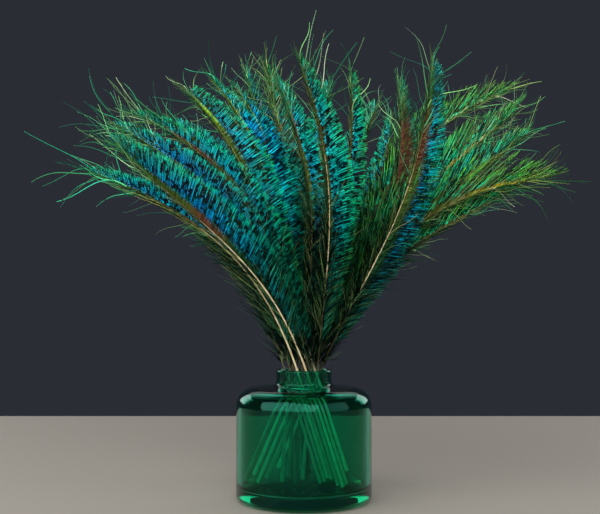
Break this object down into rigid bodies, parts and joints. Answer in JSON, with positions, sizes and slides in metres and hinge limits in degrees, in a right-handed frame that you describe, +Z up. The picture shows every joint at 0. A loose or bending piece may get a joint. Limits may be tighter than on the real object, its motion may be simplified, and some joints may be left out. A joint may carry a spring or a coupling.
{
  "type": "vase of peacock feathers",
  "caption": "Squat bottle vase of clear green glass holding a wide fan of iridescent blue-green peacock sword feathers, their bare quills crossing inside the glass.",
  "frame": {"origin": "on the vase's axis, in the flat face of the foot that it stands on", "axes": "+Z up along the vase's axis; the broad side of the fan looks along -Y, and its left is -X"},
  "size_m": [0.4038, 0.2139, 0.3722],
  "materials": {
    "green_glass": "polished clear green glass",
    "feather": "iridescent teal barbs with olive and copper bands on an ivory quill"
  },
  "bodies": {
    "root": {"vase": "green_glass", "feather_left_1": "feather", "feather_left_2": "feather", "feather_left_3": "feather", "feather_left_4": "feather", "feather_left_5": "feather", "feather_left_6": "feather", "feather_left_7": "feather", "feather_left_8": "feather", "feather_middle_1": "feather", "feather_middle_2": "feather", "feather_middle_3": "feather", "feather_middle_4": "feather", "feather_middle_5": "feather", "feather_right_1": "feather", "feather_right_2": "feather", "feather_right_3": "feather", "feather_right_4": "feather", "feather_right_5": "feather", "feather_right_6": "feather", "feather_right_7": "feather", "feather_back_1": "feather", "feather_back_2": "feather", "feather_back_3": "feather", "feather_back_4": "feather", "feather_back_5": "feather", "feather_back_6": "feather"}
  },
  "joints": []
}
